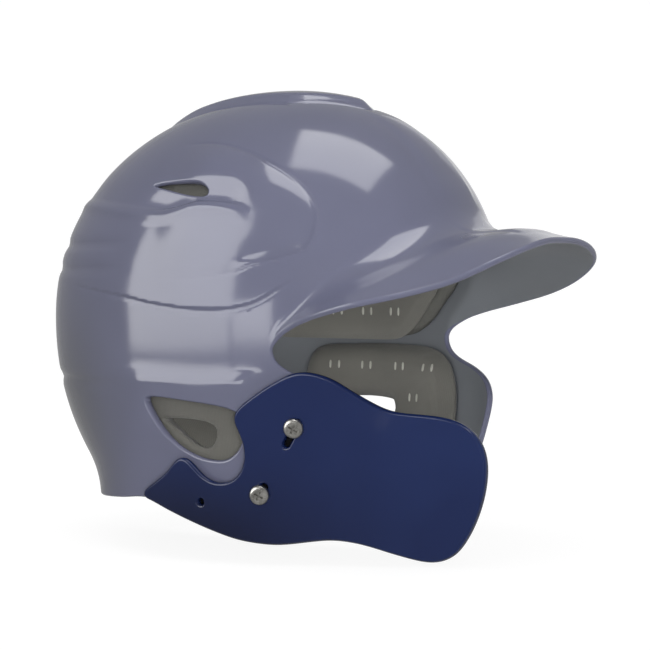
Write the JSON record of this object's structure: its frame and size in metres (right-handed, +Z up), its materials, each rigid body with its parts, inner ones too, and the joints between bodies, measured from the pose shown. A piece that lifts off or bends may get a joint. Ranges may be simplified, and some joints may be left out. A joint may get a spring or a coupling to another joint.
{
  "type": "batting helmet",
  "caption": "Hard-shell batting helmet with two ear flaps, a brim, a foam liner with comfort pads, and a jaw guard screwed to the right ear flap through adjustment slots.",
  "frame": {"origin": "centre of the head cavity on the mid-plane, at the shell's widest level", "axes": "+X forward towards the brim, +Y the wearer's left, +Z up as worn"},
  "size_m": [0.2881, 0.2016, 0.2292],
  "materials": {
    "shell_plastic": "moulded gloss plastic, grey-blue",
    "guard_plastic": "moulded gloss plastic, navy",
    "screw_steel": "zinc-plated steel",
    "liner_foam": "closed-cell foam, charcoal",
    "pad_fabric": "perforated comfort foam with a knit cover, warm dark grey",
    "cheek_foam": "closed-cell foam, light grey"
  },
  "bodies": {
    "helmet": {"outer_shell": "shell_plastic", "guard_screws": "screw_steel", "guard_washers": "screw_steel", "guard_nuts": "screw_steel", "liner_crown": "liner_foam", "liner_front": "liner_foam", "liner_left": "liner_foam", "liner_right": "liner_foam", "liner_rear": "liner_foam", "crown_pad": "pad_fabric", "brow_pad": "pad_fabric", "side_pad_left": "pad_fabric", "side_pad_right": "pad_fabric", "rear_pad": "pad_fabric", "nape_pad": "pad_fabric", "ear_pad_left": "pad_fabric", "ear_pad_right": "pad_fabric"},
    "guard": {"jaw_guard": "guard_plastic", "guard_cheek_pad": "cheek_foam"}
  },
  "joints": [
    {"name": "guard_adjust", "type": "slide", "parent": "helmet", "child": "guard", "axis": [0.4751, 0.0725, 0.8769], "range_m": [-0.002, 0.002]}
  ]
}
